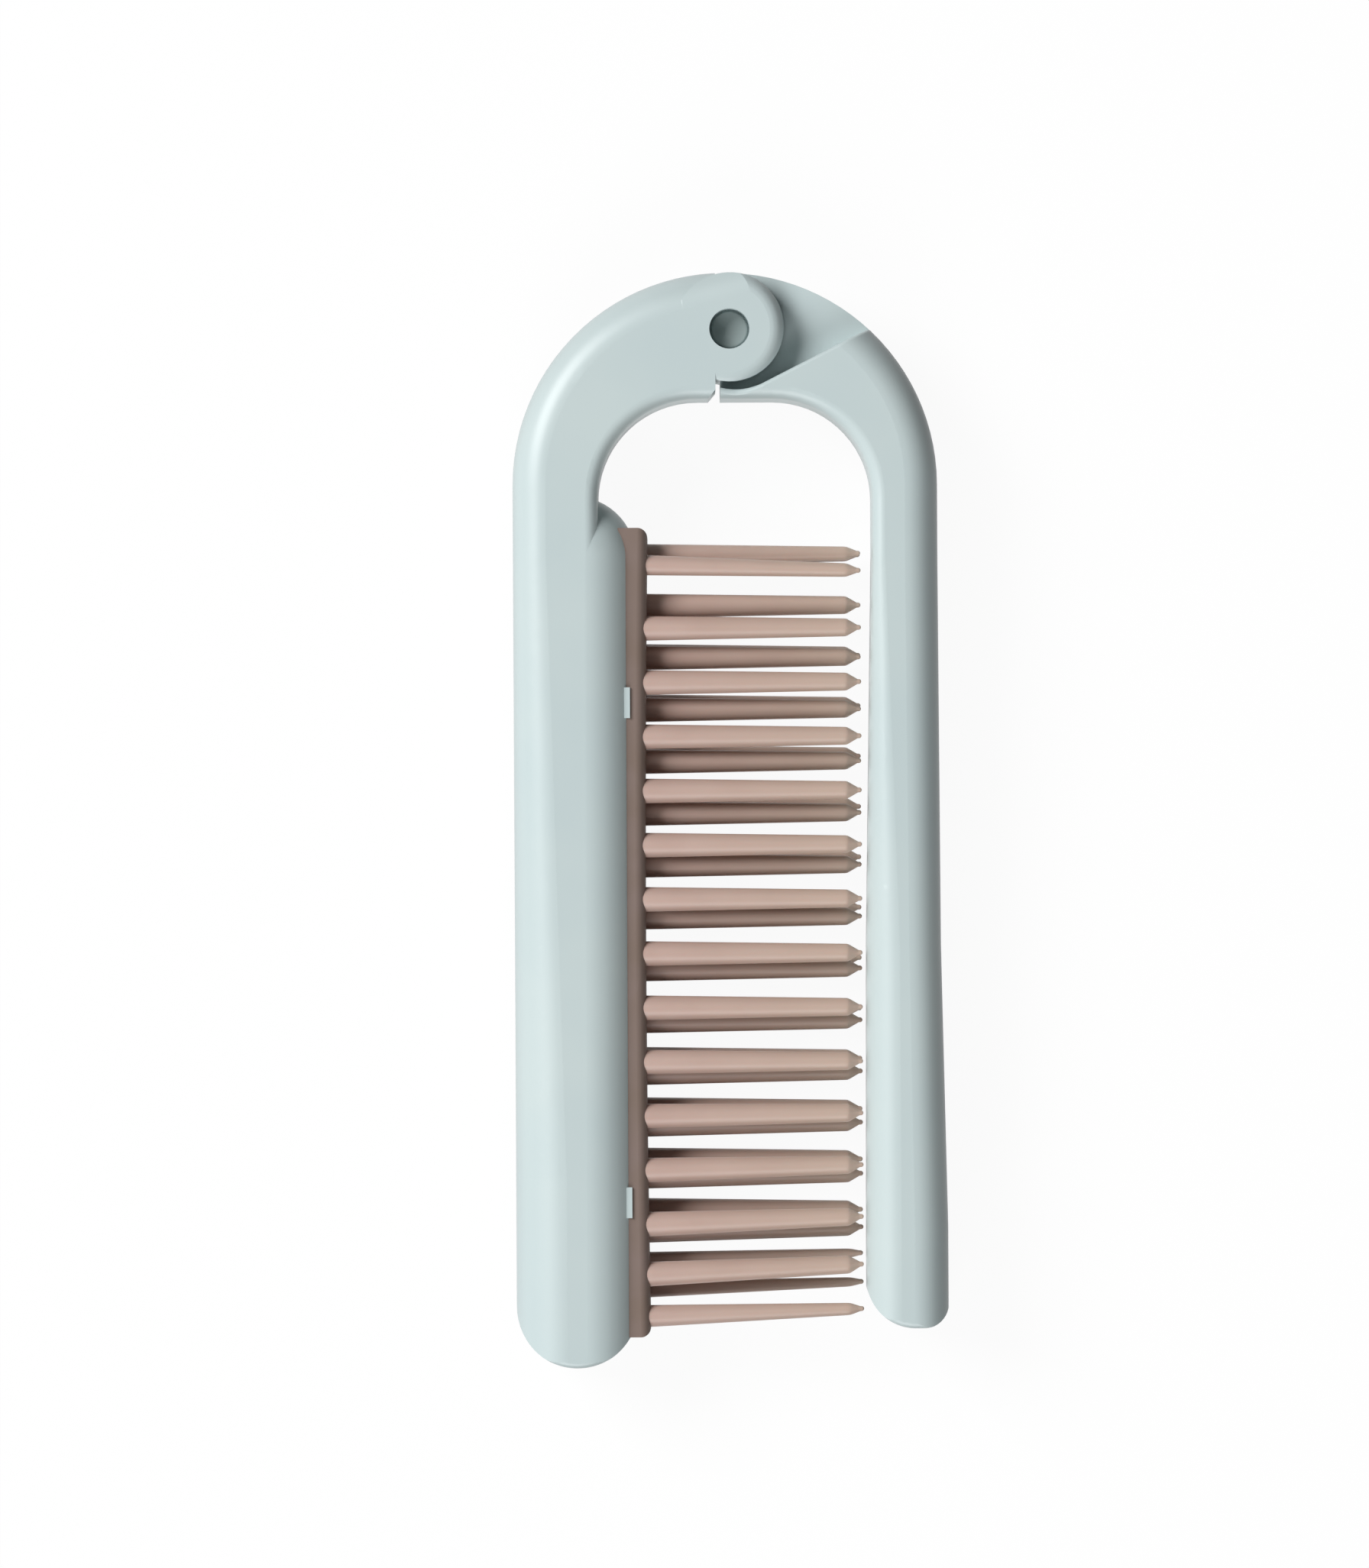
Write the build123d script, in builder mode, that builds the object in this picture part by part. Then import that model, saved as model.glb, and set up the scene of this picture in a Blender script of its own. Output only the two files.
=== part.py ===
from build123d import *
import os
from math import cos, hypot, pi, radians, sin, tan

os.makedirs("parts", exist_ok=True)

# Driving dimensions, mm. The closed brush lies on its rear face (z = 0), toothed head on the
# left, handle arm on the right, pivot at the top. Origin: middle of the outline, on that face.
thickness = 14.4            # front face to rear face
mid = thickness / 2         # plane where the front and rear shells meet
half_length = 64.2          # the head end is this far from the origin
clearance = 0.3             # between the two halves wherever they pass each other

# Arch: one round-edged band bent over the top, and the finger loop inside it.
pivot_x = 0.0
pivot_y = 57.4
arch_x = -0.6
arch_y = 39.2
arch_radius = 24.9
loop_left = -15.5
loop_right = 16.6
loop_top = 49.2
loop_corner = 11.6
band_end = 30.8             # below this the band widens into the head and narrows into the arm
outer_edge_radius = 3.9
inner_edge_radius = 1.5
notch_left = -1.65          # the head's side of the slit under the pivot
notch_right = -1.12         # the handle's side of it
slit_flare_width = 0.9      # the slit's corner on the head's side is cut off
slit_flare_height = 1.1

# Hinge: each half ends in a round leaf, the head's thinner one in front.
leaf_plane = 10.4           # where the two leaves meet
leaf_y = 57.65              # both leaves reach further above the pivot than below it
leaf_radius = 6.4
leaf_rim_radius = 1.7       # on the free side; the rim grows tighter towards the band
rim_shift = 0.6
rim_angle = 20
brow_angle = 105
brow_rise = 0.06            # how far the leaf's upper corner stands above the band's rounding
leaf_gap = 0.3              # taken up by the bearing washer
well_radius = 2.35
well_floor = 11.4
pin_head_radius = 2.2
pin_head_height = 0.4
shank_radius = 1.2
running_fit = 0.06
rear_well_radius = 3.3
rear_well_depth = 2.6
stake_radius = 2.3
stake_height = 1.0
wave_washer_height = 0.4

# Ridge beside the handle's recess: an arc under the head's leaf, then a straight slope up to the
# outline. The head's outer edge comes up against it at the end of the fold.
ridge_x = 0.7
ridge_y = 57.55
ridge_radius = 7.25
ridge_angle = 27
ridge_edge_radius = 0.4

# Head: a round-edged bar, split front and rear at mid. Its left edge starts as the band's and
# grows as round as the right one by neck_end.
head_width = 14.4
head_edge_radius = 6.0
head_left = arch_x - arch_radius
head_right = head_left + head_width
head_x = head_left + head_width / 2
head_top = band_end + head_width / 2
head_bottom = -half_length
neck_end = -42.0
end_rim_radius = 0.7        # tight rim of the head's and the arm's lower ends
wall = 1.8

# Arm: grows fuller towards its rounded tip.
arm_middle_y = -15.0
arm_middle_left = 15.8
arm_middle_right = 24.5
arm_middle_edge_radius = 3.8
arm_end_y = -48.0            # the section stays the same from here to the tip
arm_tip_y = -59.7
arm_tip_left = 15.65
arm_tip_right = 25.2
arm_tip_edge_radius = 4.0
tip_left_corner = 5.8       # plan radii of the tip's two corners
tip_right_corner = 3.0
tip_draft = 0.3
arm_cavity_x = 20.5
arm_cavity_width = 4.8
arm_cavity_top = 30.0
arm_cavity_bottom = -54.0

# Bristle strip: its back flange is held in a T-slot between the two head shells.
strip_top = 34.2
strip_bottom = -60.7
strip_back = -13.2
strip_face = -10.1          # at its middle; the face is slightly hollow along its length
strip_end_face = -9.7
strip_half_height = 4.8
strip_rounding = 1.2
flange_depth = 1.4
flange_inset = 3.6          # shorter than the strip at each end
flange_half_height = 5.5
tab_points = [(13.7, strip_half_height), (-44.9, strip_half_height)]
tab_length = 3.6            # small tabs of the shells that hook over the strip's long edges
tab_height = 0.3
tab_left = -13.2
tab_right = -11.85

# Teeth: three rows of fifteen, the end ones thinner, the lowest ones leaning up.
teeth_per_row = 15
row_spacing = 3.0
tooth_root = -11.4
tooth_tip = 14.85
tooth_shoulder = 1.4
nub_length = 0.45
nub_radius = 0.3
tooth_base_radius = 1.45
tooth_end_radius = 1.05
first_tooth_base_radius = 1.2
first_tooth_end_radius = 0.8

# Self-tapping screws, driven from the rear.
screw_head_radius = 1.9
screw_head_height = 1.4
screw_head_top = 2.8
screw_shank_radius = 0.9
screw_end = 10.8
screw_well_radius = 2.1
head_boss_radius = 3.0
handle_boss_radius = 2.7
boss_reach = thickness - wall + 0.2 - mid
head_screw_points = [(head_x, 20.0), (head_x, -14.0), (head_x, -50.0)]
handle_screw_points = [(arm_cavity_x, 22.0), (arm_cavity_x, -15.0), (arm_cavity_x, -48.0)]

# The far side of the arch circle, turned half a turn about the pivot: the edge of the head's
# recess that the handle's leaf swings in.
recess_x = 2 * pivot_x - arch_x
recess_y = 2 * pivot_y - arch_y
recess_radius = arch_radius + clearance


def save(piece, name):
    """Label a finished piece and write it as its own STEP file."""
    piece.part.label = name
    export_step(piece.part, f"parts/{name}.step")


def limb_section(y, left, right, left_radius, right_radius):
    """Cross-section of the band at height y: a rectangle with its corners rounded."""
    with BuildSketch(Plane.XZ.offset(-y)) as section:
        with BuildLine():
            Polyline(
                (left, 0),
                (right, 0),
                (right, thickness),
                (left, thickness),
                close=True,
            )
        make_face()
        fillet(section.vertices().group_by(Axis.X)[0], left_radius)
        fillet(section.vertices().group_by(Axis.X)[-1], right_radius)
    return section.sketch


def on_outer_edge(edge):
    """Whether an edge of the band lies on the outside of the arch."""
    point = edge @ 0.5
    return hypot(point.X - arch_x, max(point.Y - arch_y, 0)) > arch_radius - 1


# Arch band, from the head over the pivot to the arm.
arch_right = arch_x + arch_radius
loop_spring = loop_top - loop_corner
arc_leg = loop_corner * cos(pi / 4)
with BuildPart() as arch_band:
    with BuildSketch(Plane.XY):
        with BuildLine():
            Polyline(
                (head_left, arch_y), (head_left, band_end), (loop_left, band_end), (loop_left, loop_spring)
            )
            left_corner = (loop_left + loop_corner - arc_leg, loop_spring + arc_leg)
            right_corner = (loop_right - loop_corner + arc_leg, loop_spring + arc_leg)
            ThreePointArc((loop_left, loop_spring), left_corner, (loop_left + loop_corner, loop_top))
            Line((loop_left + loop_corner, loop_top), (loop_right - loop_corner, loop_top))
            ThreePointArc((loop_right - loop_corner, loop_top), right_corner, (loop_right, loop_spring))
            Line((loop_right, loop_spring), (loop_right, band_end))
            Line((loop_right, band_end), (arch_right, band_end))
            Line((arch_right, band_end), (arch_right, arch_y))
            ThreePointArc((arch_right, arch_y), (arch_x, arch_y + arch_radius), (head_left, arch_y))
        make_face()
    extrude(amount=thickness)
    rims = arch_band.faces().group_by(Axis.Z)[0].edges() + arch_band.faces().group_by(Axis.Z)[-1].edges()
    rims = rims.filter_by(lambda edge: (edge @ 0.5).Y > band_end + 0.01)
    fillet(rims.filter_by(on_outer_edge), outer_edge_radius)
    rims = arch_band.faces().group_by(Axis.Z)[0].edges() + arch_band.faces().group_by(Axis.Z)[-1].edges()
    rims = rims.filter_by(lambda edge: (edge @ 0.5).Y > band_end + 0.01 and not on_outer_edge(edge))
    fillet(rims.filter_by(lambda edge: (edge @ 0.5).Y <= loop_top + 0.01), inner_edge_radius)

# Slanted corner of the slit under the pivot.
with BuildPart() as slit_flare:
    with BuildSketch(Plane.XY):
        with BuildLine():
            Polyline(
                (notch_left - slit_flare_width - 0.1, loop_top - 0.15),
                (notch_left + 0.2, loop_top + slit_flare_height + 0.25),
                (notch_left + 0.2, loop_top - 0.15),
                close=True,
            )
        make_face()
    extrude(amount=thickness)

# Plan outline of the head: a stadium with a tight rim.
with BuildPart() as head_outline:
    with BuildSketch(Plane.XY):
        with Locations((head_x, (head_top + head_bottom) / 2)):
            SlotOverall(head_top - head_bottom, head_width, rotation=90)
    extrude(amount=thickness)
    fillet(head_outline.faces().filter_by(Axis.Z).edges(), end_rim_radius)

# Head bar below the band: its lower end, cut to the outline, and the part that leads up to the band.
head_end_section = limb_section(neck_end, head_left, head_right, head_edge_radius, head_edge_radius)
with BuildPart() as head_bar:
    extrude(head_end_section, amount=neck_end - head_bottom + 1)
    add(head_outline.part, mode=Mode.INTERSECT)

with BuildPart() as head_neck:
    add(limb_section(band_end, head_left, head_right, outer_edge_radius, head_edge_radius))
    add(head_end_section)
    loft()

# Round shoulder of the head beside the band.
with BuildPart() as head_shoulder:
    with BuildSketch(Plane.XY):
        with Locations((head_x, band_end)):
            Circle(head_width / 2)
    extrude(amount=thickness)
    fillet(head_shoulder.faces().filter_by(Axis.Z).edges(), head_edge_radius)
    split(bisect_by=Plane.XZ.offset(-band_end), keep=Keep.BOTTOM)

# Room inside the head bar.
with BuildPart() as head_cavity:
    with BuildSketch(Plane.XY.offset(wall)):
        with Locations((head_x, (head_top + head_bottom) / 2)):
            SlotOverall(head_top - head_bottom - 2 * wall, head_width - 2 * wall, rotation=90)
    extrude(amount=thickness - 2 * wall)
    fillet(head_cavity.faces().filter_by(Axis.Z).edges(), head_edge_radius - wall)

# Bristle strip blank, without its tooth sockets.
strip_middle = (strip_top + strip_bottom) / 2
with BuildPart() as strip_blank:
    with BuildSketch(Plane.XY.offset(mid - strip_half_height)):
        with BuildLine():
            Polyline(
                (strip_end_face, strip_top),
                (strip_back, strip_top),
                (strip_back, strip_bottom),
                (strip_end_face, strip_bottom),
            )
            ThreePointArc(
                (strip_end_face, strip_bottom), (strip_face, strip_middle), (strip_end_face, strip_top)
            )
        make_face()
    extrude(amount=2 * strip_half_height)
    fillet(strip_blank.faces().filter_by(GeomType.CYLINDER).edges(), strip_rounding)
    with BuildSketch(Plane.YZ.offset(strip_back - flange_depth)):
        with Locations((strip_middle, mid)):
            Rectangle(strip_top - strip_bottom - 2 * flange_inset, 2 * flange_half_height)
    extrude(amount=flange_depth)

# Arm's tip: one section, its plan corners rounded and its rim tight.
arm_end_section = limb_section(
    arm_end_y, arm_tip_left, arm_tip_right, arm_tip_edge_radius, arm_tip_edge_radius
)
with BuildPart() as tip_outline:
    with BuildSketch(Plane.XY) as tip_plan:
        with BuildLine():
            Polyline(
                (arm_tip_left, arm_tip_y),
                (arm_tip_right, arm_tip_y),
                (arm_tip_right + tip_draft, arm_end_y + 1),
                (arm_tip_left - tip_draft, arm_end_y + 1),
                close=True,
            )
        make_face()
        fillet(tip_plan.vertices().group_by(Axis.Y)[0].sort_by(Axis.X)[0], tip_left_corner)
        fillet(tip_plan.vertices().group_by(Axis.Y)[0].sort_by(Axis.X)[-1], tip_right_corner)
    extrude(amount=thickness)
    fillet(tip_outline.faces().filter_by(Axis.Z).edges(), end_rim_radius)

with BuildPart() as arm_tip:
    extrude(arm_end_section, amount=arm_end_y - arm_tip_y + 1)
    add(tip_outline.part, mode=Mode.INTERSECT)

# Arm above the tip, in two lofts: the upper one grows round, the lower one grows wide.
arm_middle_section = limb_section(
    arm_middle_y, arm_middle_left, arm_middle_right, arm_middle_edge_radius, arm_middle_edge_radius
)
with BuildPart() as upper_arm:
    add(limb_section(band_end, loop_right, arch_right, inner_edge_radius, outer_edge_radius))
    add(arm_middle_section)
    loft()

with BuildPart() as lower_arm:
    add(arm_middle_section)
    add(arm_end_section)
    loft()

with BuildPart() as arm_cavity:
    with BuildSketch(Plane.XY.offset(wall)):
        with Locations((arm_cavity_x, (arm_cavity_top + arm_cavity_bottom) / 2)):
            SlotOverall(arm_cavity_top - arm_cavity_bottom, arm_cavity_width, rotation=90)
    extrude(amount=thickness - 2 * wall)



def round_leaf(inner_face, height):
    """A round leaf standing on the plane where the leaves meet, free towards the plane's +X.

    Its rim rounding is that of a larger disc off to the other side, so it fades out there. A
    straight rounding, along the band's outer edge at the angle brow_angle, takes the leaf over
    into the band at its upper corner.
    """
    brow_normal = (cos(radians(brow_angle)), sin(radians(brow_angle)))
    from_arch = ((pivot_x - arch_x) * inner_face.x_dir.X, leaf_y - arch_y)
    brow_reach = arch_radius + brow_rise - brow_normal[0] * from_arch[0] - brow_normal[1] * from_arch[1]
    brow_middle = brow_reach - half_length / 2
    brow_direction = inner_face.x_dir * brow_normal[0] + inner_face.y_dir * brow_normal[1]
    with BuildPart() as brow:
        with BuildSketch(inner_face.offset(height - thickness)):
            with Locations((brow_middle * brow_normal[0], brow_middle * brow_normal[1])):
                Rectangle(half_length, half_length, rotation=brow_angle - 90)
        extrude(amount=thickness)
        brow_top = brow.faces().sort_by(Axis(inner_face.origin, inner_face.z_dir))[-1]
        fillet(brow_top.edges().sort_by(Axis(inner_face.origin, brow_direction))[-1], outer_edge_radius)
    with BuildPart() as rounding:
        with BuildSketch(inner_face):
            with Locations((-rim_shift * cos(radians(rim_angle)), -rim_shift * sin(radians(rim_angle)))):
                Circle(leaf_radius + rim_shift)
        extrude(amount=height)
        rounding_top = rounding.faces().sort_by(Axis(inner_face.origin, inner_face.z_dir))[-1]
        fillet(rounding_top.edges(), leaf_rim_radius)
    with BuildPart() as leaf:
        with BuildSketch(inner_face):
            Circle(leaf_radius)
        extrude(amount=height)
        add(rounding.part, mode=Mode.INTERSECT)
        add(brow.part, mode=Mode.INTERSECT)
    return leaf


# The head's leaf, in front, is free on the right; the handle's, behind it, on the left.
front_face = Plane((pivot_x, leaf_y, leaf_plane + leaf_gap / 2), x_dir=(1, 0, 0), z_dir=(0, 0, 1))
rear_face = Plane((pivot_x, leaf_y, leaf_plane - leaf_gap / 2), x_dir=(-1, 0, 0), z_dir=(0, 0, -1))
front_leaf = round_leaf(front_face, thickness - leaf_plane - leaf_gap / 2)
rear_leaf = round_leaf(rear_face, leaf_plane - leaf_gap / 2)

# Room for the head's leaf in the handle's front, bounded below by the ridge.
slope_start = (
    ridge_x + ridge_radius * sin(radians(ridge_angle)),
    ridge_y - ridge_radius * cos(radians(ridge_angle)),
)
slope_run = 16.0
slope_end = (slope_start[0] + slope_run, slope_start[1] + slope_run * tan(radians(ridge_angle)))
with BuildPart() as leaf_room:
    with BuildSketch(Plane.XY.offset(leaf_plane - leaf_gap / 2)):
        with BuildLine():
            ThreePointArc((ridge_x - ridge_radius, ridge_y), (ridge_x, ridge_y - ridge_radius), slope_start)
            Polyline(
                slope_start,
                slope_end,
                (slope_end[0], ridge_y + 2 * ridge_radius),
                (ridge_x - ridge_radius, ridge_y + 2 * ridge_radius),
                (ridge_x - ridge_radius, ridge_y),
            )
        make_face()
    extrude(amount=thickness)


def on_ridge(edge):
    """Whether an edge of the handle is the ridge's upper one, where the front face starts."""
    point = edge @ 0.5
    reach = hypot(point.X - ridge_x, point.Y - ridge_y)
    above = point.Y - slope_start[1] - (point.X - slope_start[0]) * tan(radians(ridge_angle))
    near = abs(reach - ridge_radius) < 0.05 if point.X < slope_start[0] else abs(above) < 0.05
    return near and point.Z > thickness - 0.01


# Tabs of the front shell over the strip's front edge; the rear shell has the same ones.
with BuildPart() as front_tabs:
    with BuildSketch(Plane.YZ.offset(tab_left)):
        with Locations(*[(y, mid + reach + tab_height / 2) for y, reach in tab_points]):
            Rectangle(tab_length, tab_height)
    extrude(amount=tab_right - tab_left)

with BuildPart() as rear_tabs:
    add(front_tabs.part)
    mirror(about=Plane.XY.offset(mid), mode=Mode.REPLACE)

# Head half, front shell: band, bar, leaf and the front pivot well.
with BuildPart() as head_front_shell:
    add(arch_band.part)
    split(bisect_by=Plane.YZ.offset(notch_left), keep=Keep.BOTTOM)
    add(slit_flare.part, mode=Mode.SUBTRACT)
    add(head_bar.part)
    add(head_neck.part)
    add(head_shoulder.part)
    split(bisect_by=Plane.XY.offset(mid), keep=Keep.TOP)
    with BuildSketch(Plane.XY.offset(mid)):
        with Locations((recess_x, recess_y)):
            Circle(recess_radius)
    extrude(amount=leaf_plane + leaf_gap / 2 - mid, mode=Mode.SUBTRACT)
    add(front_leaf.part)
    add(head_cavity.part, mode=Mode.SUBTRACT)
    with BuildSketch(Plane.XY.offset(mid)):
        with Locations(*head_screw_points):
            Circle(head_boss_radius)
    extrude(amount=boss_reach)
    add(strip_blank.part, mode=Mode.SUBTRACT)
    add(front_tabs.part)
    with BuildSketch(Plane.XY.offset(mid)):
        with Locations(*head_screw_points):
            Circle(screw_shank_radius)
    extrude(amount=screw_end - mid, mode=Mode.SUBTRACT)
    with BuildSketch(Plane.XY.offset(leaf_plane)):
        with Locations((pivot_x, pivot_y)):
            Circle(shank_radius)
    extrude(amount=well_floor - leaf_plane, mode=Mode.SUBTRACT)
    with BuildSketch(Plane.XY.offset(well_floor)):
        with Locations((pivot_x, pivot_y)):
            Circle(well_radius)
    extrude(amount=thickness - well_floor, mode=Mode.SUBTRACT)
save(head_front_shell, "head_front_shell")

# Head half, rear shell: cut back where the handle's leaf swings.
with BuildPart() as head_rear_shell:
    add(arch_band.part)
    split(bisect_by=Plane.YZ.offset(notch_left), keep=Keep.BOTTOM)
    add(slit_flare.part, mode=Mode.SUBTRACT)
    add(head_bar.part)
    add(head_neck.part)
    add(head_shoulder.part)
    split(bisect_by=Plane.XY.offset(mid), keep=Keep.BOTTOM)
    with BuildSketch(Plane.XY):
        with Locations((recess_x, recess_y)):
            Circle(recess_radius)
    extrude(amount=mid, mode=Mode.SUBTRACT)
    add(head_cavity.part, mode=Mode.SUBTRACT)
    with BuildSketch(Plane.XY.offset(mid)):
        with Locations(*head_screw_points):
            Circle(head_boss_radius)
    extrude(amount=-boss_reach)
    add(strip_blank.part, mode=Mode.SUBTRACT)
    add(rear_tabs.part)
    with BuildSketch(Plane.XY):
        with Locations(*head_screw_points):
            Circle(screw_well_radius)
    extrude(amount=screw_head_top, mode=Mode.SUBTRACT)
    with BuildSketch(Plane.XY.offset(screw_head_top)):
        with Locations(*head_screw_points):
            Circle(screw_shank_radius)
    extrude(amount=mid - screw_head_top, mode=Mode.SUBTRACT)
save(head_rear_shell, "head_rear_shell")

# Handle half, front shell: cut back where the head's leaf swings.
with BuildPart() as handle_front_shell:
    add(arch_band.part)
    split(bisect_by=Plane.YZ.offset(notch_right), keep=Keep.TOP)
    add(upper_arm.part)
    add(lower_arm.part)
    add(arm_tip.part)
    add(leaf_room.part, mode=Mode.SUBTRACT)
    fillet(handle_front_shell.edges().filter_by(on_ridge), ridge_edge_radius)
    add(rear_leaf.part)
    split(bisect_by=Plane.XY.offset(mid), keep=Keep.TOP)
    add(arm_cavity.part, mode=Mode.SUBTRACT)
    with BuildSketch(Plane.XY.offset(mid)):
        with Locations(*handle_screw_points):
            Circle(handle_boss_radius)
    extrude(amount=boss_reach)
    with BuildSketch(Plane.XY.offset(mid)):
        with Locations(*handle_screw_points):
            Circle(screw_shank_radius)
    extrude(amount=screw_end - mid, mode=Mode.SUBTRACT)
    with BuildSketch(Plane.XY.offset(mid)):
        with Locations((pivot_x, pivot_y)):
            Circle(shank_radius + running_fit)
    extrude(amount=leaf_plane - mid, mode=Mode.SUBTRACT)
save(handle_front_shell, "handle_front_shell")

# Handle half, rear shell: band, arm, leaf and the rear pivot well.
with BuildPart() as handle_rear_shell:
    add(arch_band.part)
    split(bisect_by=Plane.YZ.offset(notch_right), keep=Keep.TOP)
    add(upper_arm.part)
    add(lower_arm.part)
    add(arm_tip.part)
    add(rear_leaf.part)
    split(bisect_by=Plane.XY.offset(mid), keep=Keep.BOTTOM)
    add(arm_cavity.part, mode=Mode.SUBTRACT)
    with BuildSketch(Plane.XY.offset(mid)):
        with Locations(*handle_screw_points):
            Circle(handle_boss_radius)
    extrude(amount=-boss_reach)
    with BuildSketch(Plane.XY):
        with Locations((pivot_x, pivot_y)):
            Circle(rear_well_radius)
    extrude(amount=rear_well_depth, mode=Mode.SUBTRACT)
    with BuildSketch(Plane.XY):
        with Locations(*handle_screw_points):
            Circle(screw_well_radius)
    extrude(amount=screw_head_top, mode=Mode.SUBTRACT)
    with BuildSketch(Plane.XY):
        with Locations(*handle_screw_points):
            Circle(screw_shank_radius)
        with Locations((pivot_x, pivot_y)):
            Circle(shank_radius + running_fit)
    extrude(amount=mid, mode=Mode.SUBTRACT)
save(handle_rear_shell, "handle_rear_shell")


def tooth_row(depth, first_y, pitch, first_shift, last_shift, lift, last_base_radius):
    """One row of teeth at a depth, each a turned taper with a small nub at its tip.

    The first tooth stands off the pitch by first_shift and the last one by last_shift; the first
    leans down by as much, and the lower ones lean up more and more by lift a tooth.
    """
    with BuildPart() as row:
        for index in range(teeth_per_row):
            base_radius = tooth_base_radius
            end_radius = tooth_end_radius
            base_y = first_y - pitch * index + last_shift * (max(index - 12, 0) / 2) ** 2
            lean = lift * max(index - 9, 0)
            if index == 0:
                base_radius = first_tooth_base_radius
                end_radius = first_tooth_end_radius
                base_y += first_shift
                lean = -0.7 * first_shift
            if index == teeth_per_row - 1:
                base_radius = last_base_radius
                end_radius = 0.56 * last_base_radius
                lean = last_lean
            length = tooth_tip - tooth_root
            axis_plane = Plane(
                origin=(tooth_root, base_y, depth),
                x_dir=(length, lean, 0),
                z_dir=(0, 0, 1),
            )
            shoulder = length - tooth_shoulder
            with BuildSketch(axis_plane) as profile:
                with BuildLine():
                    Polyline((length + nub_length, 0), (0, 0), (0, base_radius))
                    Line((0, base_radius), (tooth_face_depth, base_radius))
                    Line((tooth_face_depth, base_radius), (shoulder, end_radius))
                    ThreePointArc(
                        (shoulder, end_radius),
                        (shoulder + 0.5 * tooth_shoulder, 0.42 * nub_radius + 0.58 * end_radius),
                        (length, nub_radius),
                    )
                    Line((length, nub_radius), (length + nub_length - nub_radius, nub_radius))
                    ThreePointArc(
                        (length + nub_length - nub_radius, nub_radius),
                        (length + nub_length - nub_radius * (1 - sin(pi / 4)), nub_radius * cos(pi / 4)),
                        (length + nub_length, 0),
                    )
                make_face()
            revolve(axis=Axis(axis_plane.origin, axis_plane.x_dir))
    return row


# The teeth, one row after the other from the front face to the rear one.
tooth_face_depth = strip_face - tooth_root
last_lean = 0.8
front_teeth = tooth_row(
    mid + row_spacing, 28.8, 6.363, first_shift=1.1, last_shift=1.95, lift=0.28, last_base_radius=1.3
)
save(front_teeth, "front_teeth")
middle_teeth = tooth_row(
    mid, 31.2, 6.1, first_shift=0.0, last_shift=-1.1, lift=0.08, last_base_radius=1.0
)
save(middle_teeth, "middle_teeth")
rear_teeth = tooth_row(
    mid - row_spacing, 31.1, 5.94, first_shift=0.0, last_shift=0.0, lift=0.0, last_base_radius=1.0
)
save(rear_teeth, "rear_teeth")

# Bristle strip with a socket for every tooth.
with BuildPart() as bristle_strip:
    add(strip_blank.part)
    add(front_teeth.part, mode=Mode.SUBTRACT)
    add(middle_teeth.part, mode=Mode.SUBTRACT)
    add(rear_teeth.part, mode=Mode.SUBTRACT)
save(bristle_strip, "bristle_strip")


def screw_group(points):
    """Pan-head self-tapping screws standing at each point, heads to the rear."""
    with BuildPart() as screws:
        with BuildSketch(Plane.XY.offset(screw_head_top - screw_head_height)):
            with Locations(*points):
                Circle(screw_head_radius)
        extrude(amount=screw_head_height)
        fillet(screws.faces().group_by(Axis.Z)[0].edges(), screw_head_height / 3)
        with BuildSketch(Plane.XY.offset(screw_head_top)):
            with Locations(*points):
                Circle(screw_shank_radius)
        extrude(amount=screw_end - screw_head_top)
        cross_drive = 0.55
        with BuildSketch(Plane.XY.offset(screw_head_top - screw_head_height)):
            with Locations(*points):
                Rectangle(2 * screw_head_radius * cross_drive, 0.5)
                Rectangle(0.5, 2 * screw_head_radius * cross_drive)
        extrude(amount=screw_head_height * cross_drive, mode=Mode.SUBTRACT)
    return screws


save(screw_group(head_screw_points), "head_screws")
save(screw_group(handle_screw_points), "handle_screws")

# Pivot pin: pressed into the head's leaf, its low head in the front well, its tail staked over
# the spring washer in the rear one.
stake_z = rear_well_depth - wave_washer_height - stake_height
with BuildPart() as pivot_pin:
    with BuildSketch(Plane.XY.offset(well_floor)):
        with Locations((pivot_x, pivot_y)):
            Circle(pin_head_radius)
    extrude(amount=pin_head_height)
    fillet(pivot_pin.faces().sort_by(Axis.Z)[-1].edges(), 0.7 * pin_head_height)
    with BuildSketch(Plane.XY.offset(stake_z)):
        with Locations((pivot_x, pivot_y)):
            Circle(stake_radius)
    extrude(amount=stake_height)
    fillet(pivot_pin.faces().sort_by(Axis.Z)[0].edges(), 0.7 * stake_height)
    with BuildSketch(Plane.XY.offset(stake_z + stake_height)):
        with Locations((pivot_x, pivot_y)):
            Circle(shank_radius)
    extrude(amount=well_floor - stake_z - stake_height)
save(pivot_pin, "pivot_pin")

# Thin plastic washer between the two leaves.
with BuildPart() as bearing_washer:
    with BuildSketch(Plane.XY.offset(leaf_plane - leaf_gap / 2)):
        with Locations((pivot_x, pivot_y)):
            Circle(leaf_radius * 0.55)
            Circle(shank_radius + running_fit, mode=Mode.SUBTRACT)
    extrude(amount=leaf_gap)
save(bearing_washer, "bearing_washer")

# Spring washer under the staked tail: gives the hinge its friction.
with BuildPart() as wave_washer:
    with BuildSketch(Plane.XY.offset(rear_well_depth - wave_washer_height)):
        with Locations((pivot_x, pivot_y)):
            Circle(rear_well_radius - clearance)
            Circle(shank_radius, mode=Mode.SUBTRACT)
    extrude(amount=wave_washer_height)
save(wave_washer, "wave_washer")
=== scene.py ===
"""Folding hairbrush: its finishes, moulded teeth, studio light and camera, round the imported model."""

import logging
import math
from dataclasses import dataclass
from enum import Enum

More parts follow.
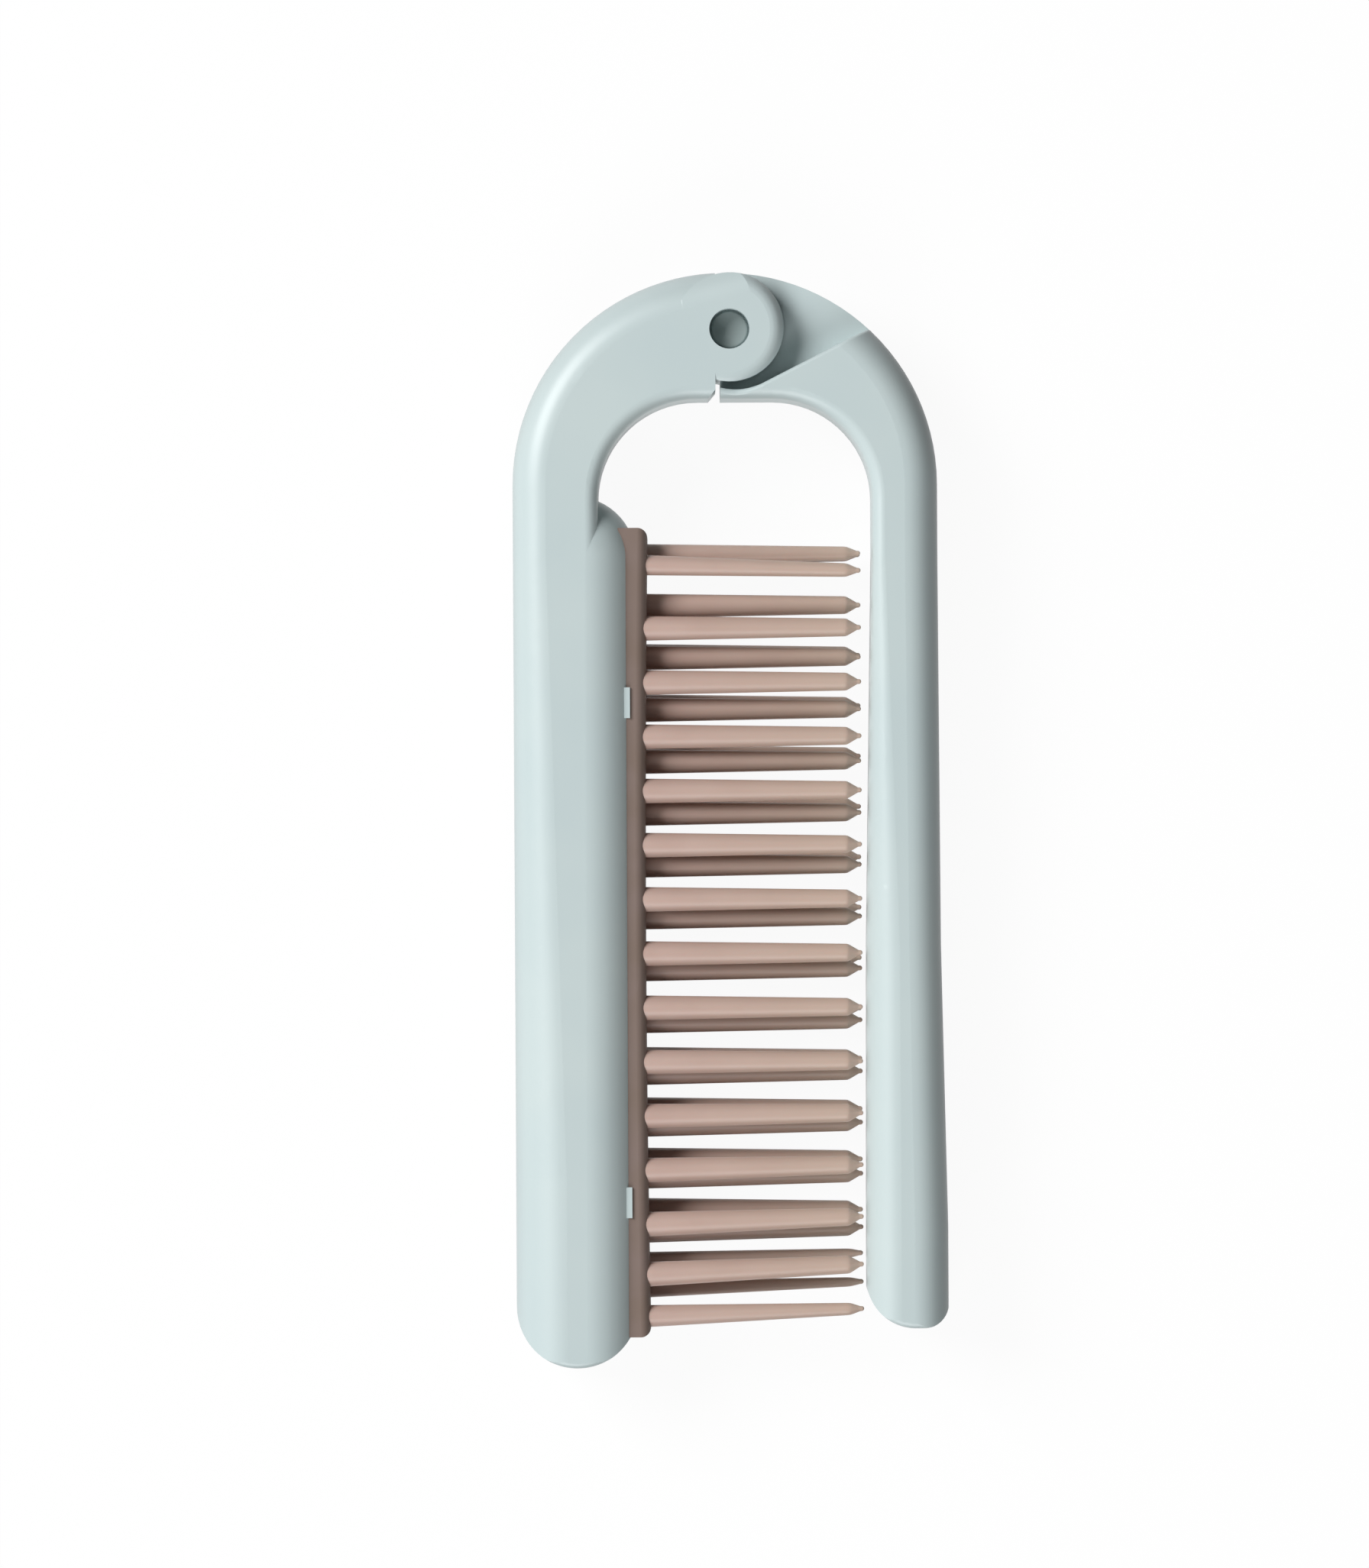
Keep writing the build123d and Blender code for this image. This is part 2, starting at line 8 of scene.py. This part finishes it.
import bpy
import numpy as np
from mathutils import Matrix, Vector


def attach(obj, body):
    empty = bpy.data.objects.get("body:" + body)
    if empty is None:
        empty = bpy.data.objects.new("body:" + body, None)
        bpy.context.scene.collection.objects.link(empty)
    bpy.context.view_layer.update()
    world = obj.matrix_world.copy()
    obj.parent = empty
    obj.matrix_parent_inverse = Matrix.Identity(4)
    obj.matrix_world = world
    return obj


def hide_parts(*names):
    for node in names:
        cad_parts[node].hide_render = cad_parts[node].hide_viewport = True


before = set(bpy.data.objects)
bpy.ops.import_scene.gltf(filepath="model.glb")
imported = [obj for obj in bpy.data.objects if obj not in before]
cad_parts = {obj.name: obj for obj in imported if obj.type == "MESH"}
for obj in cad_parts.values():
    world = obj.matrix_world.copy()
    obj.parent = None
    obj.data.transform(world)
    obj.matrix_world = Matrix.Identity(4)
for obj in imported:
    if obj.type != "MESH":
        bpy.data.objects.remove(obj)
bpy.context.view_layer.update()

MM = 0.001
WHITE = "ffffff"

# Sockets of a colour mix node, whose colour inputs share their names with the other kinds.
MIX_FACTOR, MIX_FIRST, MIX_SECOND, MIX_RESULT = 0, 6, 7, 2

logging.basicConfig(level=logging.INFO, format="%(message)s")
log = logging.getLogger("hairbrush")


class Body(Enum):
    """The two halves that the pivot joins."""

    HEAD = "head"
    HANDLE = "handle"


def linear(hex_colour: str) -> tuple[float, float, float, float]:
    """Turn an sRGB hex colour into linear light.

    Args:
        hex_colour: six hex digits, such as "c0cece".

    Returns:
        Red, green, blue and alpha as linear values.
    """
    channels = [int(hex_colour[i : i + 2], 16) / 255 for i in (0, 2, 4)]
    light = [c / 12.92 if c <= 0.04045 else ((c + 0.055) / 1.055) ** 2.4 for c in channels]
    return (light[0], light[1], light[2], 1.0)


def add_node(
    tree: bpy.types.NodeTree, kind: str, settings: dict | None = None, links: dict | None = None
) -> bpy.types.Node:
    """Add one shader node, with its settings and its input links.

    Args:
        tree: node tree that the node joins.
        kind: the node's type name.
        settings: attribute names, or "in:NAME" for an input's value, with their values.
        links: input names or numbers with the output sockets that feed them.

    Returns:
        The new node.
    """
    node = tree.nodes.new(kind)
    for name, value in (settings or {}).items():
        if name.startswith("in:"):
            node.inputs[name[3:]].default_value = value
        else:
            setattr(node, name, value)
    for name, socket in (links or {}).items():
        tree.links.new(socket, node.inputs[name])
    return node


def empty_material(name: str) -> bpy.types.Material:
    """Make a node material with nothing in its tree.

    Args:
        name: the material's name.

    Returns:
        The bare material.
    """
    material = bpy.data.materials.new(name)
    material.use_nodes = True
    material.node_tree.nodes.clear()
    return material


@dataclass(frozen=True)
class MouldedPlastic:
    """Injection-moulded plastic: one colour with a faint flow variation and a fine spark-eroded grain.

    The grain breaks the highlight into a soft satin band, and the flow variation keeps large faces
    from looking painted. Where seam_mm is set, a fine parting groove runs round the piece at that
    height: the groove is bumped into the normal, and its colour is darkened there as painted shade.
    Where the tip colour is set, the colour changes to it along +X: painted light, which stands in
    for the shade that falls near the teeth's roots.
    """

    name: str
    colour: str
    shade: str
    roughness: float
    grain_mm: float
    grain_depth_mm: float
    grain_strength: float = 0.35
    flow_mm: float = 18.0
    flow_range: tuple[float, float] = (0.35, 0.65)
    roughness_spread: float = 0.03
    subsurface: float = 0.0
    subsurface_mm: float = 1.0
    index_of_refraction: float = 1.5
    seam_mm: float | None = None
    seam_width_mm: float = 0.11
    # Painted shade: the colour that the parting groove is darkened towards.
    seam_painted_shade: str = "6f7c7c"
    seam_strength: float = 0.6
    # Painted light: a colour the teeth turn to along +X, standing in for the shade near their roots.
    tip_painted_light: str | None = None
    tip_painted_light_mm: tuple[float, float] = (-9.0, 15.0)

    def _moulded(self, tree: bpy.types.NodeTree, flow: bpy.types.NodeSocket) -> bpy.types.NodeSocket:
        """Blend the shade into the colour along the flow noise and give the result's socket."""
        ramp = add_node(tree, "ShaderNodeValToRGB", links={"Fac": flow})
        low, high = ramp.color_ramp.elements
        low.position, high.position = self.flow_range
        low.color, high.color = linear(self.shade), linear(self.colour)
        return ramp.outputs["Color"]

    @staticmethod
    def _toward(
        tree: bpy.types.NodeTree, factor: bpy.types.NodeSocket, colour: bpy.types.NodeSocket, target: str
    ) -> bpy.types.NodeSocket:
        """Blend a colour towards a hex colour by a factor and give the result's socket."""
        inputs = {MIX_FACTOR: factor, MIX_FIRST: colour}
        blend = add_node(tree, "ShaderNodeMix", {"data_type": "RGBA"}, inputs)
        blend.inputs[MIX_SECOND].default_value = linear(target)
        return blend.outputs[MIX_RESULT]

    def _seam(self, tree: bpy.types.NodeTree, height: bpy.types.NodeSocket) -> bpy.types.NodeSocket:
        """Give 1 on the parting groove and 0 a groove's width away from it."""
        offset = {"operation": "SUBTRACT", "in:Value_001": self.seam_mm * MM}
        distance = add_node(tree, "ShaderNodeMath", offset, {0: height})
        away = add_node(tree, "ShaderNodeMath", {"operation": "ABSOLUTE"}, {0: distance.outputs[0]})
        fade = {"in:From Max": self.seam_width_mm * MM, "in:To Min": 1.0, "in:To Max": 0.0}
        return add_node(tree, "ShaderNodeMapRange", fade, {"Value": away.outputs[0]}).outputs["Result"]

    def build(self) -> bpy.types.Material:
        """Build the node material.

        Returns:
            The finished material.
        """
        material = empty_material(self.name)
        tree = material.node_tree
        place = add_node(tree, "ShaderNodeTexCoord").outputs["Object"]
        split = add_node(tree, "ShaderNodeSeparateXYZ", links={"Vector": place}).outputs
        flow = add_node(
            tree,
            "ShaderNodeTexNoise",
            {"in:Scale": 1 / (self.flow_mm * MM), "in:Detail": 3.0, "in:Roughness": 0.5},
            {"Vector": place},
        ).outputs["Fac"]
        colour = self._moulded(tree, flow)
        # Painted light: the colour turns towards the tip colour along +X, standing in for the shade near
        # the teeth's roots.
        if self.tip_painted_light:
            along = add_node(
                tree,
                "ShaderNodeMapRange",
                {"in:From Min": self.tip_painted_light_mm[0] * MM, "in:From Max": self.tip_painted_light_mm[1] * MM},
                {"Value": split["X"]},
            ).outputs["Result"]
            colour = self._toward(tree, along, colour, self.tip_painted_light)
        grain = add_node(
            tree,
            "ShaderNodeTexNoise",
            {"in:Scale": 1 / (self.grain_mm * MM), "in:Detail": 2.0},
            {"Vector": place},
        ).outputs["Fac"]
        normal = add_node(
            tree,
            "ShaderNodeBump",
            {"in:Strength": self.grain_strength, "in:Distance": self.grain_depth_mm * MM},
            {"Height": grain},
        ).outputs["Normal"]
        if self.seam_mm is not None:
            # The groove is bumped into the normal, and its colour is darkened towards the seam colour as
            # painted shade.
            groove = self._seam(tree, split["Z"])
            colour = self._toward(tree, groove, colour, self.seam_painted_shade)
            normal = add_node(
                tree,
                "ShaderNodeBump",
                {"invert": True, "in:Strength": self.seam_strength, "in:Distance": self.seam_width_mm * MM},
                {"Height": groove, "Normal": normal},
            ).outputs["Normal"]
        gloss = add_node(
            tree,
            "ShaderNodeMapRange",
            {
                "in:To Min": self.roughness - self.roughness_spread,
                "in:To Max": self.roughness + self.roughness_spread,
            },
            {"Value": flow},
        ).outputs["Result"]
        shader = add_node(
            tree,
            "ShaderNodeBsdfPrincipled",
            {
                "in:IOR": self.index_of_refraction,
                "in:Subsurface Weight": self.subsurface,
                "in:Subsurface Scale": self.subsurface_mm * MM,
            },
            {"Base Color": colour, "Roughness": gloss, "Normal": normal},
        )
        add_node(tree, "ShaderNodeOutputMaterial", links={"Surface": shader.outputs["BSDF"]})
        return material


@dataclass(frozen=True)
class PlatedSteel:
    """Zinc-plated steel: a cool grey metal whose gloss varies finely, as the plating leaves it."""

    name: str = "zinc_plated_steel"
    colour: str = "a9adad"
    roughness_range: tuple[float, float] = (0.28, 0.46)
    mark_mm: float = 0.3

    def build(self) -> bpy.types.Material:
        """Build the node material.

        Returns:
            The finished material.
        """
        material = empty_material(self.name)
        tree = material.node_tree
        place = add_node(tree, "ShaderNodeTexCoord").outputs["Object"]
        fineness = {"in:Scale": 1 / (self.mark_mm * MM)}
        marks = add_node(tree, "ShaderNodeTexNoise", fineness, {"Vector": place})
        gloss = add_node(
            tree,
            "ShaderNodeMapRange",
            {"in:To Min": self.roughness_range[0], "in:To Max": self.roughness_range[1]},
            {"Value": marks.outputs["Fac"]},
        )
        shader = add_node(
            tree,
            "ShaderNodeBsdfPrincipled",
            {"in:Base Color": linear(self.colour), "in:Metallic": 1.0},
            {"Roughness": gloss.outputs["Result"]},
        )
        add_node(tree, "ShaderNodeOutputMaterial", links={"Surface": shader.outputs["BSDF"]})
        return material


# The brush's plastics. The shells' parting groove runs at mid thickness.
SHELL_ABS = MouldedPlastic(
    name="moulded_satin_abs",
    colour="c3d0d0",
    shade="bfcdce",
    roughness=0.38,
    grain_mm=0.22,
    grain_depth_mm=0.012,
    seam_mm=7.2,
)
# Painted shade: the pin is the shells' colour darkened, standing in for the shade in the deep well round
# its head.
PIN_NYLON_PAINTED_SHADE = MouldedPlastic(
    name="pin_nylon_painted_shade",
    colour="9ba6a5",
    shade="98a3a2",
    roughness=0.34,
    grain_mm=0.3,
    grain_depth_mm=0.008,
)
WASHER_ACETAL = MouldedPlastic(
    name="acetal_washer",
    colour="e2e2dd",
    shade="dededa",
    roughness=0.4,
    grain_mm=0.4,
    grain_depth_mm=0.005,
)
TOOTH_NYLON = MouldedPlastic(
    name="moulded_nylon_dusty_pink",
    colour="c4a99e",
    shade="bfa398",
    roughness=0.42,
    grain_mm=0.3,
    grain_depth_mm=0.01,
    flow_mm=6.0,
    subsurface=0.08,
    # Painted light: the tip colour stands in for the shade near the teeth's roots.
    tip_painted_light="c2ab9c",
)
# Painted shade: the strip is the teeth's nylon darkened, standing in for the shadow that the head casts on
# it.
STRIP_NYLON_PAINTED_SHADE = MouldedPlastic(
    name="strip_nylon_painted_shade",
    colour="82716a",
    shade="7d6c62",
    roughness=0.5,
    grain_mm=0.3,
    grain_depth_mm=0.01,
    flow_mm=6.0,
)


def dress(node: str, material: bpy.types.Material) -> None:
    """Give every material slot of a CAD node one material.

    Args:
        node: the node's name.
        material: the material that it takes.
    """
    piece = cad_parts[node]
    if not piece.material_slots:
        piece.data.materials.append(material)
    for material_slot in piece.material_slots:
        material_slot.material = material
    log.info("%s takes %s", node, material.name)


@dataclass
class Half:
    """One moulded half of the brush: its two shells and the screws that close them."""

    body: Body
    shells: tuple[str, ...]
    screws: str

    def dress(self, shell: bpy.types.Material, steel: bpy.types.Material) -> None:
        """Dress the shells and the screws.

        Args:
            shell: the shells' material.
            steel: the screws' material.
        """
        for node in self.shells:
            dress(node, shell)
        dress(self.screws, steel)
        log.info("%s half dressed", self.body.value)


@dataclass
class Pivot:
    """The pin through both leaves, with the washers on it."""

    pin: str = "pivot_pin"
    bearing: str = "bearing_washer"
    spring: str = "wave_washer"

    def dress(self, steel: bpy.types.Material) -> None:
        """Dress the pin in the shells' colour darkened as painted shade for its well, and the bearing
        washer in acetal.

        Args:
            steel: the spring washer's material.
        """
        dress(self.pin, PIN_NYLON_PAINTED_SHADE.build())
        dress(self.spring, steel)
        dress(self.bearing, WASHER_ACETAL.build())


@dataclass(frozen=True)
class ToothRow:
    """Where one row of teeth stands and how its teeth lean, in mm.

    The teeth stand a pitch apart. The first is off its place by first_shift, the last by last_shift
    and the one above it by a quarter of that. From lift_from on, counted from 0, each leans up by
    lift more than the one above, and the first leans back by first_lean of its shift.
    """

    node: str
    depth: float
    first_y: float
    pitch: float
    first_shift: float = 0.0
    last_shift: float = 0.0
    lift: float = 0.0
    last_base_radius: float = 1.0
    first_lean: float = 0.7
    lift_from: int = 9
    shifted_at_end: int = 2

    def stations(self, count: int, last_lean: float) -> tuple[np.ndarray, np.ndarray]:
        """Place every tooth of the row.

        Args:
            count: how many teeth the row has.
            last_lean: how far the last tooth's tip stands above its root.

        Returns:
            Root heights and leans of the tips, one of each a tooth.
        """
        index = np.arange(count)
        at_end = np.maximum(index - (count - 1 - self.shifted_at_end), 0) / self.shifted_at_end
        root = self.first_y - self.pitch * index + self.last_shift * at_end**2
        lean = self.lift * np.maximum(index - self.lift_from, 0).astype(float)
        root[0] += self.first_shift
        lean[0] = -self.first_lean * self.first_shift
        lean[-1] = last_lean
        return root, lean


@dataclass
class BristleSet:
    """The strip and its three rows of moulded teeth, in mm.

    A tooth is a ring swept along an axis from root_x, inside the strip, past the strip's face to
    tip_x. A cone as long as the shoulder narrows it there to a nub that ends in a hemisphere. The
    rings stand close together from foot_lead before the face to foot_trail after it, wide apart
    along the shank, and close together again from shoulder_lead before the shoulder.
    """

    count: int = 15
    root_x: float = -11.4
    face_x: float = -10.1
    tip_x: float = 14.85
    shoulder: float = 1.4
    nub: float = 0.45
    nub_radius: float = 0.3
    base_radius: float = 1.45
    end_radius: float = 1.05
    first_base_radius: float = 1.2
    first_end_radius: float = 0.8
    last_taper: float = 0.56
    last_lean: float = 0.8
    cone_bulge: float = 0.07
    softness: float = 0.05
    pole_gap: float = 1e-4
    inner_ring: float = 0.8
    foot_lead: float = 0.4
    foot_trail: float = 1.8
    shank_start: float = 3.0
    shank_margin: float = 1.0
    shoulder_lead: float = 0.6
    around: int = 32
    foot_rings: int = 9
    shank_rings: int = 9
    shoulder_rings: int = 15
    nub_rings: int = 5
    rows: tuple[ToothRow, ...] = (
        ToothRow(
            "front_teeth",
            depth=10.2,
            first_y=28.8,
            pitch=6.363,
            first_shift=1.1,
            last_shift=1.95,
            lift=0.28,
            last_base_radius=1.3,
        ),
        ToothRow("middle_teeth", depth=7.2, first_y=31.2, pitch=6.1, last_shift=-1.1, lift=0.08),
        ToothRow("rear_teeth", depth=4.2, first_y=31.1, pitch=5.94),
    )

    @property
    def length(self) -> float:
        """Length of a tooth without its nub."""
        return self.tip_x - self.root_x

    @property
    def face(self) -> float:
        """Where a tooth comes out of the strip, from its root."""
        return self.face_x - self.root_x

    def _along(self) -> np.ndarray:
        """Give the stations along a tooth, closer together at its foot and its tip."""
        shoulder_start = self.length - self.shoulder
        shank_end = shoulder_start - self.shank_margin
        nub_end = self.length + self.nub
        quarter = np.linspace(0, np.pi / 2, self.nub_rings + 2)[1:-1]
        return np.concatenate(
            [
                [0.0, self.face - self.inner_ring],
                np.linspace(self.face - self.foot_lead, self.face + self.foot_trail, self.foot_rings),
                np.linspace(self.face + self.shank_start, shank_end, self.shank_rings),
                np.linspace(shoulder_start - self.shoulder_lead, self.length, self.shoulder_rings),
                nub_end - self.nub_radius + self.nub_radius * np.sin(quarter),
                [nub_end - self.pole_gap],
            ]
        )

    def _radii(self, along: np.ndarray, base: np.ndarray, end: np.ndarray) -> np.ndarray:
        """Give the radius of every tooth at every station.

        A straight taper from base to end and a blunt cone to the nub are joined by a soft minimum,
        which rounds the shoulder, and a hemisphere closes the nub.

        Args:
            along: stations along the tooth.
            base: radii at the strip's face, one a tooth.
            end: radii at the shoulder, one a tooth.

        Returns:
            Radii, one row a tooth and one column a station.
        """
        run = np.clip((along - self.face) / (self.length - self.shoulder - self.face), 0, 1)
        taper = base[:, None] + (end - base)[:, None] * run
        widening = end[:, None] + self.cone_bulge - self.nub_radius
        cone = self.nub_radius + widening * (self.length - along) / self.shoulder
        body = -self.softness * np.logaddexp(-taper / self.softness, -cone / self.softness)
        past_ball = np.maximum(along - (self.length + self.nub - self.nub_radius), 0)
        nub = np.sqrt(self.nub_radius**2 - past_ball**2)
        return np.where(along > self.length, nub, np.maximum(body, self.nub_radius))

    def _points(self, row: ToothRow, along: np.ndarray) -> np.ndarray:
        """Sweep a ring along the leaning axis of every tooth.

        Args:
            row: the row to build.
            along: stations along a tooth.

        Returns:
            Vertices in metres, tooth by tooth: its rings, then the poles at its foot and its tip.
        """
        root, lean = row.stations(self.count, self.last_lean)
        base = np.full(self.count, self.base_radius)
        end = np.full(self.count, self.end_radius)
        base[0], end[0] = self.first_base_radius, self.first_end_radius
        base[-1], end[-1] = row.last_base_radius, self.last_taper * row.last_base_radius
        radii = self._radii(along, base, end)
        axis = np.stack([np.full(self.count, self.length), lean, np.zeros(self.count)], axis=1)
        axis /= np.linalg.norm(axis, axis=1)[:, None]
        side = np.stack([-axis[:, 1], axis[:, 0], axis[:, 2]], axis=1)
        up = np.array([0.0, 0.0, 1.0])
        foot = np.stack([np.full(self.count, self.root_x), root, np.full(self.count, row.depth)], axis=1)
        angle = np.arange(self.around) * 2 * np.pi / self.around
        sideways = np.cos(angle)[None, None, :, None] * side[:, None, None, :]
        spokes = sideways + np.sin(angle)[None, None, :, None] * up
        centres = foot[:, None, :] + along[None, :, None] * axis[:, None, :]
        rings = centres[:, :, None, :] + radii[:, :, None, None] * spokes
        poles = np.stack([foot, foot + (self.length + self.nub) * axis], axis=1)
        return np.concatenate([rings.reshape(self.count, -1, 3), poles], axis=1).reshape(-1, 3) * MM

    def _faces(self, stations: int) -> list[list[int]]:
        """Join the rings of every tooth by quads and close its two ends by fans.

        Args:
            stations: how many rings a tooth has.

        Returns:
            Vertex numbers of each face, all of them turned outwards.
        """
        ring = np.arange(self.around)
        following = (ring + 1) % self.around
        here = np.arange(stations - 1)[:, None] * self.around
        ahead = here + self.around
        quads = np.stack([here + ring, here + following, ahead + following, ahead + ring], axis=-1)
        foot_pole = stations * self.around
        last = foot_pole - self.around
        foot_fan = np.stack([np.full(self.around, foot_pole), following, ring], axis=1)
        tip_fan = np.stack([np.full(self.around, foot_pole + 1), last + ring, last + following], axis=1)
        fans = np.concatenate([foot_fan, tip_fan])
        start = np.arange(self.count)[:, None, None] * (foot_pole + 2)
        all_quads = (quads.reshape(-1, 4)[None] + start).reshape(-1, 4)
        all_fans = (fans[None] + start).reshape(-1, 3)
        return all_quads.tolist() + all_fans.tolist()

    def build_row(self, row: ToothRow, material: bpy.types.Material) -> bpy.types.Object:
        """Build one row of teeth as a single mesh.

        Args:
            row: the row to build.
            material: the teeth's material.

        Returns:
            The row's object, which stands in for the CAD node.
        """
        along = self._along()
        mesh = bpy.data.meshes.new(row.node + "_moulded")
        mesh.from_pydata(self._points(row, along).tolist(), [], self._faces(len(along)))
        mesh.polygons.foreach_set("use_smooth", np.ones(len(mesh.polygons), dtype=bool))
        mesh.materials.append(material)
        piece = bpy.data.objects.new(row.node + "_moulded", mesh)
        bpy.context.scene.collection.objects.link(piece)
        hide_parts(row.node)
        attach(piece, Body.HEAD.value)
        log.info("%s: %d faces", piece.name, len(mesh.polygons))
        return piece

    def build(self) -> None:
        """Dress the strip and build the three rows."""
        nylon = TOOTH_NYLON.build()
        # The strip's material is painted shade: the teeth's nylon darkened.
        dress("bristle_strip", STRIP_NYLON_PAINTED_SHADE.build())
        for row in self.rows:
            self.build_row(row, nylon)


@dataclass(frozen=True)
class Lamp:
    """One square soft lamp that faces the brush: angles in degrees, watts, and its side in metres."""

    name: str
    azimuth: float
    elevation: float
    power: float
    size: float

    def build(self, distance: float) -> None:
        """Hang the lamp.

        Args:
            distance: metres from the brush.
        """
        lamp = bpy.data.lights.new(self.name, "AREA")
        lamp.energy = self.power
        lamp.size = self.size
        turn = math.radians(self.azimuth)
        rise = math.radians(self.elevation)
        reach = Vector((math.cos(rise) * math.cos(turn), math.cos(rise) * math.sin(turn), math.sin(rise)))
        stand = bpy.data.objects.new(self.name, lamp)
        stand.location = reach * distance
        stand.rotation_euler = reach.to_track_quat("Z", "Y").to_euler()
        bpy.context.scene.collection.objects.link(stand)


def either(
    tree: bpy.types.NodeTree, one: bpy.types.NodeSocket, other: bpy.types.NodeSocket
) -> bpy.types.NodeSocket:
    """Give 1 where either of two ray tests does, else 0."""
    return add_node(tree, "ShaderNodeMath", {"operation": "MAXIMUM"}, {0: one, 1: other}).outputs[0]


@dataclass
class Studio:
    """White table, soft lamps and the camera straight above the brush."""

    image_height: int = 2053
    pixels_per_mm: float = 11.126
    centre_mm: tuple[float, float] = (-5.50, 4.145)
    mid_plane_mm: float = 7.2
    camera_height_mm: float = 1200.0
    roll_deg: float = 0.28
    sensor_mm: float = 36.0
    clip_start: float = 0.01
    clip_end: float = 50.0
    floor_size: float = 6.0
    floor_drop_mm: float = 0.2
    floor_bounce: str = "747474"
    floor_colour: str = "f4f4f4"
    floor_shading: float = 0.06
    lamp_distance: float = 2.0
    world_strength: float = 0.125
    lamps: tuple[Lamp, ...] = (
        Lamp("key_above_left", azimuth=150, elevation=41, power=40.5, size=1.0),
        Lamp("fill_below", azimuth=260, elevation=36, power=21.5, size=1.14),
    )

    def build_camera(self) -> None:
        """Place the camera, looking straight down at the middle of the picture."""
        camera = bpy.data.cameras.new("camera")
        camera.sensor_fit = "VERTICAL"
        camera.sensor_height = self.sensor_mm
        camera.lens = self.pixels_per_mm * self.camera_height_mm / self.image_height * self.sensor_mm
        camera.clip_start = self.clip_start
        camera.clip_end = self.clip_end
        stand = bpy.data.objects.new("camera", camera)
        stand.location = (
            self.centre_mm[0] * MM,
            self.centre_mm[1] * MM,
            (self.mid_plane_mm + self.camera_height_mm) * MM,
        )
        stand.rotation_euler = (0, 0, math.radians(-self.roll_deg))
        bpy.context.scene.collection.objects.link(stand)
        bpy.context.scene.camera = stand

    def build_floor(self) -> None:
        """Lay the white table top: it shows as white, keeps a faint shadow and throws back little light."""
        half = self.floor_size / 2
        height = -self.floor_drop_mm * MM
        mesh = bpy.data.meshes.new("floor")
        corners = [(-half, -half), (half, -half), (half, half), (-half, half)]
        mesh.from_pydata([(x, y, height) for x, y in corners], [], [(0, 1, 2, 3)])
        floor = bpy.data.objects.new("floor", mesh)
        bpy.context.scene.collection.objects.link(floor)
        material = empty_material("white_table")
        tree = material.node_tree
        path = add_node(tree, "ShaderNodeLightPath").outputs
        seen = either(tree, path["Is Camera Ray"], path["Is Glossy Ray"])
        seen = either(tree, seen, path["Is Transmission Ray"])
        dim = add_node(tree, "ShaderNodeBsdfDiffuse", {"in:Color": linear(self.floor_bounce)})
        matt = add_node(tree, "ShaderNodeBsdfDiffuse", {"in:Color": linear(self.floor_colour)})
        white = add_node(tree, "ShaderNodeEmission", {"in:Color": linear(WHITE), "in:Strength": 1.0})
        shown = {1: white.outputs[0], 2: matt.outputs[0]}
        pale = add_node(tree, "ShaderNodeMixShader", {"in:Fac": self.floor_shading}, shown)
        both = {0: seen, 1: dim.outputs[0], 2: pale.outputs[0]}
        mix = add_node(tree, "ShaderNodeMixShader", links=both)
        add_node(tree, "ShaderNodeOutputMaterial", links={"Surface": mix.outputs[0]})
        mesh.materials.append(material)

    def build_world(self) -> None:
        """Surround everything with an even pale light that the camera sees as white."""
        world = bpy.data.worlds.new("studio")
        bpy.context.scene.world = world
        world.use_nodes = True
        tree = world.node_tree
        tree.nodes.clear()
        path = add_node(tree, "ShaderNodeLightPath").outputs
        pale = {"in:Color": linear(WHITE), "in:Strength": self.world_strength}
        dim = add_node(tree, "ShaderNodeBackground", pale)
        white = add_node(tree, "ShaderNodeBackground", {"in:Color": linear(WHITE), "in:Strength": 1.0})
        both = {0: path["Is Camera Ray"], 1: dim.outputs[0], 2: white.outputs[0]}
        mix = add_node(tree, "ShaderNodeMixShader", links=both)
        add_node(tree, "ShaderNodeOutputWorld", links={"Surface": mix.outputs[0]})

    def build(self) -> None:
        """Set up the whole studio."""
        self.build_camera()
        self.build_floor()
        self.build_world()
        for lamp in self.lamps:
            lamp.build(self.lamp_distance)
        bpy.context.scene.view_settings.view_transform = "Standard"
        log.info("studio built")


def main() -> None:
    """Build the sub-assemblies in order."""
    Studio().build()
    shell = SHELL_ABS.build()
    steel = PlatedSteel().build()
    Half(Body.HEAD, ("head_front_shell", "head_rear_shell"), "head_screws").dress(shell, steel)
    Half(Body.HANDLE, ("handle_front_shell", "handle_rear_shell"), "handle_screws").dress(shell, steel)
    Pivot().dress(steel)
    BristleSet().build()


if __name__ == "__main__":
    main()
